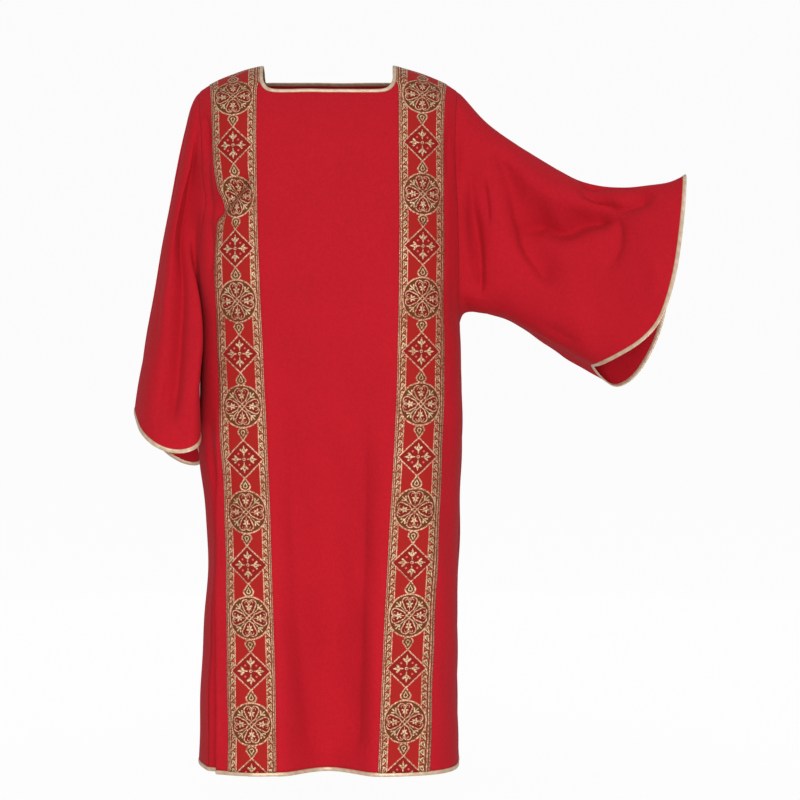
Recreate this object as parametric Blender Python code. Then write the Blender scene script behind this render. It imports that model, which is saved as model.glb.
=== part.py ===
"""A dalmatic: a knee-length liturgical tunic with wide sleeves, a square neck and two galloon bands.

Metres, +Z up, the front faces -Y. The wearer's right is at -X, where the sleeve hangs down; the
left sleeve, at +X, is held out. The origin is the middle of the neck opening, level with the
points where the shoulders meet the neck, because that is where the wearer holds the garment up.

The cloth is modelled first as one seamless sheet. Its faces are then shared out to the pieces
that are cut and sewn, and each share is thickened along the whole sheet's normals.
"""

from collections import namedtuple
from math import cos, pi, radians, sin, sqrt

import bmesh
import bpy
import numpy as np
from mathutils import Vector

# ---------------------------------------------------------------- driving dimensions
CLOTH = 0.0016            # thickness of the crepe
GALLOON = 0.0012          # thickness of the woven band
GALLOON_WIDTH = 0.096
BINDING = 0.0030          # thickness of the binding, folded over the cloth's edge
BINDING_WIDTH = 0.0065
SEAM_GAP = 0.0003
BINDING_GAP = 0.0003      # from the cloth's cut edge to the binding

CHEST = -0.160            # where the shoulder's curve has turned into the upright front
UNDERARM = -0.475
HEM = -1.298
SHOULDER_X = 0.240        # armhole's top, on the shoulder ridge
SHOULDER_DROP = 0.045
RIDGE_START = 0.110       # the ridge is level up to here, under the neck
RIDGE_POWER = 1.6

NECK_HALF = 0.1265        # from the middle to the neck's sides, beside which the bands lie
NECK_CORNER = 0.025       # radius of the square neck's corners
FRONT_NECK_DEPTH = 0.063  # cloth's edge under the binding
BACK_NECK_DEPTH = 0.028
BAND_ON_RIDGE = 0.100     # how much of the ridge a band takes up, as it follows the neck

# ---------------------------------------------------------------- body sections
# One row for each level: half widths, depths in front and behind, squareness of the section,
# how far the left half leans in at the front, depth of the valley between the two bands, and
# how far from the middle the bands' inner edges lie in front and behind.
Section = namedtuple(
    "Section", "z left right front back square lean valley inner_left inner_right inner_back"
)
SECTIONS = [
    Section(CHEST, 0.250, 0.250, 0.118, 0.105, 2.6, 0.00, 0.000, 0.1223, 0.1280, 0.1270),
    Section(-0.28, 0.248, 0.252, 0.134, 0.124, 2.8, 0.00, 0.000, 0.1198, 0.1295, 0.1280),
    Section(-0.40, 0.243, 0.250, 0.139, 0.128, 3.0, 0.00, 0.003, 0.1148, 0.1285, 0.1270),
    Section(UNDERARM, 0.238, 0.246, 0.140, 0.128, 3.0, 0.02, 0.010, 0.1113, 0.1270, 0.1260),
    Section(-0.56, 0.238, 0.251, 0.140, 0.128, 3.1, 0.03, 0.020, 0.1068, 0.1255, 0.1240),
    Section(-0.65, 0.241, 0.251, 0.140, 0.128, 3.3, 0.04, 0.029, 0.1028, 0.1230, 0.1220),
    Section(-0.72, 0.243, 0.249, 0.140, 0.129, 3.4, 0.05, 0.034, 0.0998, 0.1192, 0.1200),
    Section(-0.80, 0.235, 0.246, 0.140, 0.131, 3.6, 0.06, 0.040, 0.0963, 0.1145, 0.1180),
    Section(-0.88, 0.226, 0.244, 0.141, 0.133, 3.8, 0.06, 0.045, 0.0938, 0.1095, 0.1160),
    Section(-0.95, 0.230, 0.242, 0.142, 0.135, 3.9, 0.07, 0.048, 0.0918, 0.1060, 0.1140),
    Section(-1.05, 0.236, 0.240, 0.144, 0.139, 4.1, 0.08, 0.054, 0.0878, 0.1005, 0.1120),
    Section(-1.16, 0.242, 0.240, 0.146, 0.143, 4.3, 0.09, 0.060, 0.0848, 0.0960, 0.1090),
    Section(HEM, 0.2445, 0.243, 0.147, 0.146, 4.5, 0.10, 0.065, 0.0836, 0.0905, 0.1070),
]

# Depth (y) at which the front and the back end on each side: along the armholes down to the
# underarm, and below it along the side seams, which both share.
Seam = namedtuple("Seam", "z front_left front_right back_left back_right")
SEAMS = [
    Seam(CHEST, -0.058, -0.058, 0.050, 0.050),
    Seam(-0.30, -0.062, -0.060, 0.055, 0.055),
    Seam(-0.39, -0.058, -0.056, 0.052, 0.052),
    Seam(-0.435, -0.047, -0.046, 0.043, 0.043),
    Seam(-0.462, -0.028, -0.028, 0.026, 0.026),
    Seam(UNDERARM, 0.000, 0.000, 0.000, 0.000),
    Seam(-0.60, -0.045, 0.000, -0.045, 0.000),
    Seam(-0.76, -0.092, 0.003, -0.092, 0.003),
    Seam(HEM, -0.100, 0.010, -0.100, 0.010),
]

# Upright folds of the back: where they are at the hem, how wide and deep, and where they start.
BackFold = namedtuple("BackFold", "x half_width depth start")
BACK_FOLDS = [
    BackFold(-0.045, 0.055, 0.038, -0.50),
    BackFold(0.062, 0.045, 0.030, -0.62),
]

# ---------------------------------------------------------------- sleeves
# Edges of each sleeve beyond the armhole: along the arm, along the underarm seam, and down the
# front and the back of the mouth. Every row is a point of the edge.
Point = namedtuple("Point", "x y z")
Sleeve = namedtuple("Sleeve", "name side over under front_mouth back_mouth")
HELD_OUT = Sleeve(
    "sleeve_left",
    1,
    [
        Point(0.258, 0.000, -0.062),
        Point(0.272, 0.000, -0.081),
        Point(0.287, -0.002, -0.101),
        Point(0.309, -0.004, -0.120),
        Point(0.337, -0.006, -0.139),
        Point(0.395, -0.013, -0.177),
        Point(0.457, -0.028, -0.215),
        Point(0.472, -0.035, -0.224),
        Point(0.502, -0.050, -0.230),
        Point(0.527, -0.070, -0.236),
        Point(0.575, -0.100, -0.235),
        Point(0.620, -0.130, -0.233),
        Point(0.647, -0.140, -0.218),
    ],
    [
        Point(0.253, 0.000, -0.466),
        Point(0.266, 0.000, -0.462),
        Point(0.282, 0.000, -0.461),
        Point(0.307, 0.000, -0.464),
        Point(0.330, -0.002, -0.471),
        Point(0.374, -0.010, -0.493),
        Point(0.410, -0.020, -0.516),
        Point(0.453, -0.035, -0.539),
        Point(0.488, -0.062, -0.560),
    ],
    [
        Point(0.646, -0.160, -0.222),
        Point(0.642, -0.178, -0.250),
        Point(0.638, -0.188, -0.287),
        Point(0.633, -0.190, -0.331),
        Point(0.627, -0.190, -0.376),
        Point(0.619, -0.188, -0.421),
        Point(0.607, -0.185, -0.461),
        Point(0.589, -0.178, -0.498),
        Point(0.566, -0.168, -0.519),
        Point(0.535, -0.150, -0.538),
        Point(0.507, -0.125, -0.553),
        Point(0.493, -0.095, -0.561),
    ],
    [
        Point(0.646, -0.120, -0.222),
        Point(0.643, -0.102, -0.246),
        Point(0.640, -0.090, -0.283),
        Point(0.634, -0.070, -0.355),
        Point(0.626, -0.055, -0.440),
        Point(0.619, -0.048, -0.485),
        Point(0.607, -0.042, -0.515),
        Point(0.586, -0.030, -0.560),
        Point(0.562, -0.020, -0.591),
        Point(0.537, -0.018, -0.601),
        Point(0.513, -0.025, -0.589),
        Point(0.496, -0.042, -0.569),
    ],
)
HANGING = Sleeve(
    "sleeve_right",
    -1,
    [
        Point(-0.253, 0.000, -0.062),
        Point(-0.260, 0.000, -0.082),
        Point(-0.267, 0.000, -0.120),
        Point(-0.276, 0.000, -0.157),
        Point(-0.294, 0.000, -0.250),
        Point(-0.311, 0.000, -0.343),
        Point(-0.327, 0.000, -0.4365),
        Point(-0.343, 0.000, -0.530),
        Point(-0.360, 0.000, -0.642),
    ],
    [
        Point(-0.243, 0.000, -0.4745),
        Point(-0.251, 0.000, -0.484),
        Point(-0.257, 0.001, -0.520),
        Point(-0.260, 0.003, -0.580),
        Point(-0.258, 0.005, -0.655),
    ],
    [
        Point(-0.357, -0.032, -0.647),
        Point(-0.350, -0.062, -0.659),
        Point(-0.338, -0.098, -0.680),
        Point(-0.319, -0.132, -0.701),
        Point(-0.295, -0.155, -0.714),
        Point(-0.272, -0.163, -0.721),
        Point(-0.252, -0.160, -0.723),
        Point(-0.233, -0.147, -0.716),
        Point(-0.224, -0.124, -0.698),
        Point(-0.238, -0.080, -0.677),
        Point(-0.253, -0.040, -0.664),
    ],
    [
        Point(-0.357, 0.032, -0.648),
        Point(-0.350, 0.064, -0.664),
        Point(-0.338, 0.105, -0.695),
        Point(-0.321, 0.138, -0.724),
        Point(-0.300, 0.156, -0.741),
        Point(-0.280, 0.162, -0.751),
        Point(-0.262, 0.156, -0.755),
        Point(-0.251, 0.130, -0.748),
        Point(-0.251, 0.085, -0.722),
        Point(-0.256, 0.040, -0.682),
    ],
)

# Troughs (positive depth) and ridges of the sleeves, each along a line of three points seen from
# the front (face -1) or from behind (face 1).
Fold = namedtuple("Fold", "face x1 z1 x2 z2 x3 z3 half_width depth")
FOLDS = [
    Fold(-1, -0.246, -0.20, -0.260, -0.42, -0.280, -0.735, 0.036, 0.024),
    Fold(1, -0.270, -0.24, -0.290, -0.50, -0.296, -0.760, 0.036, 0.020),
    Fold(-1, 0.264, -0.17, 0.279, -0.29, 0.287, -0.440, 0.024, 0.015),
    Fold(-1, 0.314, -0.165, 0.359, -0.30, 0.417, -0.430, 0.031, 0.022),
    Fold(-1, 0.350, -0.305, 0.438, -0.318, 0.522, -0.295, 0.030, 0.016),
    Fold(-1, 0.290, -0.15, 0.400, -0.243, 0.560, -0.262, 0.055, -0.020),
    Fold(-1, 0.475, -0.249, 0.527, -0.303, 0.500, -0.390, 0.028, 0.012),
    Fold(1, 0.290, -0.15, 0.400, -0.243, 0.560, -0.262, 0.055, -0.018),
    Fold(1, 0.285, -0.15, 0.310, -0.30, 0.330, -0.430, 0.030, 0.015),
    Fold(1, 0.350, -0.22, 0.410, -0.33, 0.470, -0.470, 0.034, 0.017),
    Fold(1, 0.480, -0.28, 0.520, -0.36, 0.560, -0.480, 0.032, 0.014),
]

# Where the cloth bunches in front of the wearer's right armpit: the place, how far the bunch
# reaches, and how far it moves the cloth.
Bunch = namedtuple("Bunch", "x z reach dx dy")
BUNCH = Bunch(-0.205, -0.266, 0.075, 0.016, -0.008)

# How the hanging sleeve's inner fold laps over the body's side: the level where it starts, where
# it is all there and where it ends, and how far it moves the fold.
Lap = namedtuple("Lap", "start full end dx dy")
LAP = Lap(-0.385, -0.49, -0.72, 0.027, -0.014)

# ---------------------------------------------------------------- how finely the sheet is divided
# Across a body panel the stations are: 0 its first edge, 1 and 2 the first band's edges, 3 and 4
# the second band's edges, 5 its other edge. Down it: 0 the shoulder ridge, 1 CHEST, 2 UNDERARM,
# 3 the hem's edge.
EDGE_STRIP = [0.0, 0.25, 0.5, 0.75, 1.0]
BAND_STRIP = [1.0, 1.3333, 1.6667, 2.0]
CENTRE = [0.0, 0.035, 0.10, 0.21, 0.325, 0.44, 0.56, 0.675, 0.79, 0.90, 0.965, 1.0]
FIRST_SIDE = EDGE_STRIP + BAND_STRIP[1:]
SECOND_SIDE = [5.0 - u for u in reversed(FIRST_SIDE)]
CENTRE_STATIONS = [2.0 + u for u in CENTRE]
NECK_ROWS = 3             # shoulder rows above the neckline's corner
FRONT_SHOULDER = [0.0, 0.155, 0.31, 0.455, 0.585, 0.72, 0.86]
BACK_SHOULDER = [0.0, 0.12, 0.245, 0.38, 0.53, 0.69, 0.85]
ARMHOLE = [1.0, 1.16, 1.32, 1.47, 1.61, 1.73, 1.83, 1.91, 1.965]
SKIRT_ROWS = 18
SLEEVE_RINGS = [0, 0.025, 0.06, 0.11, 0.175, 0.25, 0.33, 0.41, 0.49, 0.57, 0.65, 0.73, 0.81, 0.88,
                0.95, 1]
RING_SAMPLES = 721
SMOOTHING_PASSES = 2

FRONT, BACK = -1, 1
PIECES = ["front", "back", "sleeve_right", "sleeve_left"]
BAND_NAMES = ["clavus_right", "clavus_left"]


def row_at(table, z):
    """The table's row for level z, worked out between the two rows around it."""
    levels = [row.z for row in reversed(table)]
    columns = zip(*reversed(table))
    return type(table[0])(*(float(np.interp(z, levels, column)) for column in columns))


def smooth_step(t):
    t = np.clip(t, 0.0, 1.0)
    return t * t * (3.0 - 2.0 * t)


def ring_at(z):
    """The body's closed section at level z: arc length from the front's middle, x and y.
    It runs from the back's middle along the wearer's right, the front and the left."""
    row = row_at(SECTIONS, z)
    turn = np.linspace(-pi, pi, RING_SAMPLES)
    across, ahead = np.sin(turn), np.cos(turn)
    power = 2.0 / row.square
    x = np.sign(across) * np.abs(across) ** power * np.where(across < 0, row.left, row.right)
    y = -np.sign(ahead) * np.abs(ahead) ** power * np.where(ahead > 0, row.front, row.back)
    x = np.where(x < 0, x * (1.0 - row.lean * smooth_step(-y / 0.12)), x)
    middle = (row.inner_right - row.inner_left) / 2.0
    half = (row.inner_right + row.inner_left) / 2.0
    valley = 0.5 + 0.5 * np.cos(pi * np.clip((x - middle) / half, -1, 1))
    y = y + np.where(ahead > 0, row.valley * valley, 0.0)
    for fold in BACK_FOLDS:
        share = smooth_step((z - fold.start) / (HEM - fold.start))
        trough = 0.5 + 0.5 * np.cos(pi * np.clip((x - fold.x) / fold.half_width, -1, 1))
        y = y - np.where(ahead < 0, share * fold.depth * trough, 0.0)
    arc = np.concatenate([[0.0], np.cumsum(np.hypot(np.diff(x), np.diff(y)))])
    arc -= arc[RING_SAMPLES // 2]
    return turn, arc, x, y


def station_arcs(face, z):
    """Arc lengths of a panel's six stations at level z, and the ring they lie on."""
    turn, arc, x, y = ring_at(z)
    row, seam = row_at(SECTIONS, z), row_at(SEAMS, z)
    ends = []
    for side in (-1, 1):
        flank = (side * turn > 0.3 * pi) & (side * turn < 0.7 * pi)
        depths, arcs = y[flank], arc[flank]
        order = np.argsort(depths)
        # the tables' left is -X, the wearer's right
        name = ("front_" if face == FRONT else "back_") + ("left" if side < 0 else "right")
        ends.append(float(np.interp(getattr(seam, name), depths[order], arcs[order])))
    if face == FRONT:
        ahead = np.abs(turn) < 0.5 * pi
        inner = np.interp([-row.inner_left, row.inner_right], x[ahead], arc[ahead])
        stations = [ends[0], inner[0] - GALLOON_WIDTH, inner[0],
                    inner[1], inner[1] + GALLOON_WIDTH, ends[1]]
    else:
        whole = arc[-1] - arc[0]
        behind = turn > 0.5 * pi
        first = float(np.interp(row.inner_back, x[behind][::-1], arc[behind][::-1]))
        behind = turn < -0.5 * pi
        last = float(np.interp(row.inner_back, -x[behind], arc[behind])) + whole
        stations = [ends[1], first - GALLOON_WIDTH, first,
                    last, last + GALLOON_WIDTH, ends[0] + whole]
    return stations, arc, x, y


def ridge_height(x):
    past = max(0.0, abs(x) - RIDGE_START) / (SHOULDER_X - RIDGE_START)
    return -SHOULDER_DROP * past ** RIDGE_POWER


def ridge_x(face, u):
    """x of station u on the shoulder ridge, where the bands lie flat beside the neck."""
    outer = NECK_HALF + BAND_ON_RIDGE
    xs = [-SHOULDER_X, -outer, -NECK_HALF, NECK_HALF, outer, SHOULDER_X]
    x = float(np.interp(u, range(6), xs))
    return x if face == FRONT else -x


_level_cache = {}


def panel_point(face, u, v):
    """The sheet's point at station u across and v down the front or the back."""
    level = CHEST if v <= 1 else (
        CHEST + (UNDERARM - CHEST) * (v - 1) if v <= 2 else
        UNDERARM + (HEM + BINDING_WIDTH - UNDERARM) * (v - 2))
    key = (face, round(level, 6))
    if key not in _level_cache:
        _level_cache[key] = station_arcs(face, level)
    stations, arc, x, y = _level_cache[key]
    at = float(np.interp(u, range(6), stations))
    if at > arc[-1]:
        at -= arc[-1] - arc[0]
    px, py = float(np.interp(at, arc, x)), float(np.interp(at, arc, y))
    if v >= 1:
        return Vector((px, py, level))
    top = ridge_x(face, u)
    lift = ridge_height(top)
    lean, drop = sin(v * pi / 2), 1 - cos(v * pi / 2)
    return Vector((top + (px - top) * lean, py * lean, lift + (CHEST - lift) * drop))


def neck_row(face, u, v, first):
    """v of a row near the neckline: square across the middle, round at the corners.
    first is the row that starts at the corner, and rows further down feel it less."""
    depth = FRONT_NECK_DEPTH if face == FRONT else BACK_NECK_DEPTH
    straight = 2 / pi * np.arccos(1 + depth / CHEST)
    inset = (0.5 - abs(u - 2.5)) * 2 * NECK_HALF / NECK_CORNER
    dip = sqrt(max(0.0, 1 - (1 - min(inset, 1)) ** 2))
    fade = max(0.0, 1 - (v - first) / 0.45)
    return v + (straight - first) * dip * fade


def edge_curve(points, t):
    """The point at share t of the length of a smooth curve through the points."""
    knots = np.array(points, float)
    padded = np.vstack([2 * knots[0] - knots[1], knots, 2 * knots[-1] - knots[-2]])
    samples = []
    for a, b, c, d in zip(padded, padded[1:], padded[2:], padded[3:]):
        for s in np.linspace(0, 1, 12, endpoint=False):
            samples.append(0.5 * (2 * b + (c - a) * s + (2 * a - 5 * b + 4 * c - d) * s ** 2
                                  + (3 * b - a - 3 * c + d) * s ** 3))
    samples = np.array(samples + [knots[-1]])
    length = np.concatenate([[0], np.cumsum(np.linalg.norm(np.diff(samples, axis=0), axis=1))])
    share = np.atleast_1d(t) * length[-1]
    return np.array([np.interp(share, length, samples[:, i]) for i in range(3)]).T


def sleeve_grid(sleeve, face, armhole, rings):
    """Points of one half of a sleeve, [from the armhole to the mouth][down the armhole].
    It is spanned between its four edges, and its cloth stops short of the mouth by the binding."""
    armhole = np.array(armhole, float)
    length = np.concatenate([[0], np.cumsum(np.linalg.norm(np.diff(armhole, axis=0), axis=1))])
    down = length / length[-1]
    mouth = sleeve.front_mouth if face == FRONT else sleeve.back_mouth
    over_rows = [armhole[0], *sleeve.over]
    under_rows = [armhole[-1], *sleeve.under]
    end = edge_curve([sleeve.over[-1], *mouth, sleeve.under[-1]], down)
    reach = np.linalg.norm(end - armhole, axis=1)
    grid = []
    for w in rings:
        share = w * (1 - BINDING_WIDTH / reach)
        over, under = edge_curve(over_rows, share), edge_curve(under_rows, share)
        q, s = down[:, None], share[:, None]
        spanned = (1 - q) * over + q * under + (1 - s) * armhole + s * end
        corners = ((1 - q) * (1 - s) * armhole[0] + q * (1 - s) * armhole[-1]
                   + (1 - q) * s * end[0] + q * s * end[-1])
        grid.append(spanned - corners)
    return np.array(grid)


def fold_shift(face, x, z):
    """How far the sleeve's folds push the cloth in at a point, seen along Y."""
    shift = 0.0
    for fold in FOLDS:
        if fold.face != face:
            continue
        best, at = 1e9, 0.0
        ends = [(fold.x1, fold.z1), (fold.x2, fold.z2), (fold.x3, fold.z3)]
        for i, ((xa, za), (xb, zb)) in enumerate(zip(ends, ends[1:])):
            along = (x - xa) * (xb - xa) + (z - za) * (zb - za)
            t = float(np.clip(along / ((xb - xa) ** 2 + (zb - za) ** 2), 0, 1))
            near = np.hypot(x - xa - t * (xb - xa), z - za - t * (zb - za))
            if near < best:
                best, at = near, (i + t) / 2
        if best < fold.half_width:
            taper = min(1.0, 4 * at) if fold.z3 < -0.7 else sin(pi * min(max(at, 0.04), 0.96))
            shift += fold.depth * taper * (0.5 + 0.5 * cos(pi * best / fold.half_width))
    return shift


def lay_patch(sheet, grid, piece, band=None):
    """Adds a grid of points, [across][down], to the sheet as faces of one piece."""
    across, down = len(grid), len(grid[0])
    made = bmesh.ops.create_grid(sheet, x_segments=across - 1, y_segments=down - 1, size=1)["verts"]
    for vert in made:
        i = round((vert.co.x + 1) / 2 * (across - 1))
        j = round((1 - vert.co.y) / 2 * (down - 1))
        vert.co = Vector(grid[i][j])
    layer, band_layer = sheet.faces.layers.int["piece"], sheet.faces.layers.int["band"]
    for face in {face for vert in made for face in vert.link_faces}:
        face[layer] = PIECES.index(piece)
        face[band_layer] = 0 if band is None else BAND_NAMES.index(band) + 1


def body_rows(face):
    shoulder = FRONT_SHOULDER if face == FRONT else BACK_SHOULDER
    skirt = [2 + i / SKIRT_ROWS for i in range(SKIRT_ROWS + 1)]
    return shoulder + ARMHOLE + skirt


def lay_panel(sheet, face, piece):
    """The front or the back: a strip on each side of the neck, and the middle below it."""
    rows = body_rows(face)
    hands = BAND_NAMES if face == FRONT else BAND_NAMES[::-1]
    for stations, band in ((FIRST_SIDE, hands[0]), (SECOND_SIDE, hands[1])):
        inside = [u for u in stations if 1 <= u <= 4]
        outside = [u for u in stations if u <= 1 or u >= 4]
        lay_patch(sheet, [[panel_point(face, u, v) for v in rows] for u in outside], piece)
        lay_patch(sheet, [[panel_point(face, u, v) for v in rows] for u in inside], piece, band)
    first = rows[NECK_ROWS]
    middle = [[panel_point(face, u, neck_row(face, u, v, first)) for v in rows[NECK_ROWS:]]
              for u in CENTRE_STATIONS]
    lay_patch(sheet, middle, piece)


def lay_sleeve(sheet, sleeve):
    for face in (FRONT, BACK):
        rows = [v for v in body_rows(face) if v <= 2]
        first_end = (face == FRONT) == (sleeve.side < 0)
        armhole = [panel_point(face, 0 if first_end else 5, v) for v in rows]
        grid = sleeve_grid(sleeve, face, armhole, SLEEVE_RINGS)
        for ring in grid[1:]:
            for point in ring[1:-1]:
                point[1] -= face * fold_shift(face, point[0], point[2])
        if first_end:
            grid = grid[::-1]
        lay_patch(sheet, grid, sleeve.name)


def make_sheet():
    """The whole garment as one seamless sheet."""
    sheet = bmesh.new()
    sheet.faces.layers.int.new("piece")
    sheet.faces.layers.int.new("band")
    lay_panel(sheet, FRONT, "front")
    lay_panel(sheet, BACK, "back")
    lay_sleeve(sheet, HELD_OUT)
    lay_sleeve(sheet, HANGING)
    bmesh.ops.remove_doubles(sheet, verts=sheet.verts, dist=0.00005)
    ease_armholes(sheet)
    bunch_cloth(sheet)
    lap_sleeve(sheet)
    bmesh.ops.triangulate(sheet, faces=sheet.faces, quad_method="SHORT_EDGE")
    sheet.verts.index_update()
    sheet.normal_update()
    return sheet


def bunch_cloth(sheet):
    """Pushes the front's cloth forward and towards the middle before the lowered arm."""
    for vert in sheet.verts:
        x, y, z = vert.co
        near = sqrt((x - BUNCH.x) ** 2 + (z - BUNCH.z) ** 2) / BUNCH.reach
        if y < -0.02 and near < 1:
            share = (0.5 + 0.5 * cos(pi * near)) * min(1.0, (-0.02 - y) / 0.04)
            vert.co = (x + share * BUNCH.dx, y + share * BUNCH.dy, z)


def lap_sleeve(sheet):
    """Lays the hanging sleeve's inner fold over the front of the body's side."""
    layer = sheet.faces.layers.int["piece"]
    sleeve = PIECES.index("sleeve_right")
    for vert in sheet.verts:
        if any(face[layer] != sleeve for face in vert.link_faces):
            continue
        x, y, z = vert.co
        share = smooth_step((LAP.start - z) / (LAP.start - LAP.full))
        share *= smooth_step((z - LAP.end) / (LAP.full - LAP.end))
        share *= smooth_step((x + 0.29) / 0.045) * smooth_step((-0.03 - y) / 0.06)
        vert.co = (x + share * LAP.dx, y + share * LAP.dy, z)


def ease_armholes(sheet):
    """Rounds the turn from the body into the sleeves, as cloth does across a seam."""
    layer = sheet.faces.layers.int["piece"]
    near = {
        vert for vert in sheet.verts
        if len({face[layer] >= 2 for face in vert.link_faces}) == 2
    }
    for _ in range(2):
        near |= {edge.other_vert(vert) for vert in near for edge in vert.link_edges}
    inner = [vert for vert in near if not vert.is_boundary]
    for _ in range(SMOOTHING_PASSES):
        bmesh.ops.smooth_vert(
            sheet, verts=inner, factor=0.5, use_axis_x=True, use_axis_y=True, use_axis_z=True
        )


def edge_directions(faces):
    """For each vertex on the rim of these faces, the way into them, in their own surface."""
    faces = set(faces)
    inward = {}
    rim = []
    for edge in {edge for face in faces for edge in face.edges}:
        own = [face for face in edge.link_faces if face in faces]
        if len(own) != 1:
            continue
        rim.append((edge, own[0]))
        along = (edge.verts[1].co - edge.verts[0].co).normalized()
        into = own[0].calc_center_median() - edge.verts[0].co
        into = (into - along * into.dot(along)).normalized()
        for vert in edge.verts:
            inward.setdefault(vert, []).append(into)
    ways = {}
    for vert, found in inward.items():
        total = found[0] if len(found) == 1 else found[0] + found[1]
        spread = 1.0 if len(found) == 1 else 1 + found[0].dot(found[1])
        ways[vert] = total / max(spread, 0.5)
    return ways, rim


def make_object(name, mesh_source, material, collection):
    bmesh.ops.recalc_face_normals(mesh_source, faces=mesh_source.faces)
    mesh = bpy.data.meshes.new(name)
    mesh_source.to_mesh(mesh)
    mesh_source.free()
    mesh.shade_smooth()
    mesh.set_sharp_from_angle(angle=radians(60))
    mesh.materials.append(material)
    made = bpy.data.objects.new(name, mesh)
    collection.objects.link(made)
    return made


def add_split_quad(mesh_source, corners, from_second):
    """A twisted four-sided face as two triangles. Neighbours across a seam split theirs alike."""
    a, b, c, d = corners[1:] + corners[:1] if from_second else corners
    mesh_source.faces.new([a, b, c])
    mesh_source.faces.new([a, c, d])


def make_wall(name, faces, thickness, lift, material, collection):
    """One sewn piece: its faces, thickened both ways along the sheet's normals, and drawn back
    from its seams by half the seam gap."""
    ways, rim = edge_directions(faces)
    wall = bmesh.new()
    layers = []
    for side in (1, -1):
        layers.append({
            vert: wall.verts.new(vert.co + vert.normal * (lift + side * thickness / 2)
                                 + ways.get(vert, Vector()) * SEAM_GAP / 2)
            for vert in {vert for face in faces for vert in face.verts}
        })
    outer, inner = layers
    for face in faces:
        wall.faces.new([outer[vert] for vert in face.verts])
        wall.faces.new([inner[vert] for vert in reversed(face.verts)])
    for edge, own in rim:
        a, b = edge.verts
        loop = next(loop for loop in own.loops if loop.edge == edge)
        if loop.vert == b:
            a, b = b, a
        add_split_quad(wall, [outer[b], outer[a], inner[a], inner[b]], a.index < b.index)
    return make_object(name, wall, material, collection)


def make_binding(name, sheet, edges, material, collection):
    """A binding beyond a free edge of the sheet: a flat ring, thicker than the cloth."""
    ways, _ = edge_directions(sheet.faces)
    ring = bmesh.new()
    corners = {}
    for vert in {vert for edge in edges for vert in edge.verts}:
        out = -ways[vert]
        near, far = vert.co + out * BINDING_GAP, vert.co + out * BINDING_WIDTH
        half = vert.normal * BINDING / 2
        corners[vert] = [ring.verts.new(p) for p in (near + half, far + half, far - half, near - half)]
    for edge in edges:
        first, second = (corners[vert] for vert in sorted(edge.verts, key=lambda vert: vert.index))
        for i in range(4):
            j = (i + 1) % 4
            add_split_quad(ring, [first[i], first[j], second[j], second[i]], i == 3)
    return make_object(name, ring, material, collection)


def free_loops(sheet):
    """The sheet's free edges, as the neck, the hem and the two mouths."""
    rim = {edge for edge in sheet.edges if len(edge.link_faces) == 1}
    loops = []
    while rim:
        loop, grown = set(), {rim.pop()}
        while grown:
            edge = grown.pop()
            loop.add(edge)
            for vert in edge.verts:
                found = {other for other in vert.link_edges if other in rim}
                rim -= found
                grown |= found
        loops.append(loop)
    named = {}
    for loop in loops:
        middle = sum((edge.verts[0].co for edge in loop), Vector()) / len(loop)
        if middle.z < HEM + 0.1:
            named["binding_hem"] = loop
        elif middle.z > -0.1:
            named["binding_neck"] = loop
        else:
            named["binding_cuff_right" if middle.x < 0 else "binding_cuff_left"] = loop
    return named


def cloth_material(name, colour, roughness, metallic=0.0):
    material = bpy.data.materials.new(name)
    material.use_nodes = True
    shader = material.node_tree.nodes["Principled BSDF"]
    shader.inputs["Base Color"].default_value = (*colour, 1.0)
    shader.inputs["Roughness"].default_value = roughness
    shader.inputs["Metallic"].default_value = metallic
    material.diffuse_color = (*colour, 1.0)
    return material


def main():
    for existing in list(bpy.data.objects):
        bpy.data.objects.remove(existing)
    collection = bpy.data.collections.new("dalmatic")
    bpy.context.scene.collection.children.link(collection)
    crepe = cloth_material("red_crepe", (0.48, 0.012, 0.024), 0.85)
    galloon = cloth_material("galloon", (0.42, 0.14, 0.05), 0.55, 0.3)
    gold = cloth_material("gold_satin", (0.68, 0.45, 0.22), 0.4, 0.4)

    sheet = make_sheet()
    layer, band_layer = sheet.faces.layers.int["piece"], sheet.faces.layers.int["band"]
    for index, name in enumerate(PIECES):
        faces = [face for face in sheet.faces if face[layer] == index]
        make_wall(name, faces, CLOTH, 0.0, crepe, collection)
    band_lift = CLOTH / 2 + SEAM_GAP + GALLOON / 2
    for index, name in enumerate(BAND_NAMES):
        faces = [face for face in sheet.faces if face[band_layer] == index + 1]
        make_wall(name, faces, GALLOON, band_lift, galloon, collection)
    for name, edges in free_loops(sheet).items():
        make_binding(name, sheet, edges, gold, collection)
    sheet.free()


main()
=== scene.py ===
"""The dalmatic's looks: crepe panels and sleeves, two galloon bands and satin bindings.

Metres, +Z up, the front faces -Y. The wearer's right is at -X, where the sleeve hangs down; the
left sleeve, at +X, is held out. The cloth is laid out once as a coarse sheet, smoothed and
creased, and its faces are then shared out to the pieces that are cut and sewn.
"""

from collections import namedtuple
from functools import cache, reduce
from math import cos, dist, pi, radians, sin, sqrt

import bmesh
import bpy
import numpy as np
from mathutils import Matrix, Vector
from mathutils.kdtree import KDTree


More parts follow.
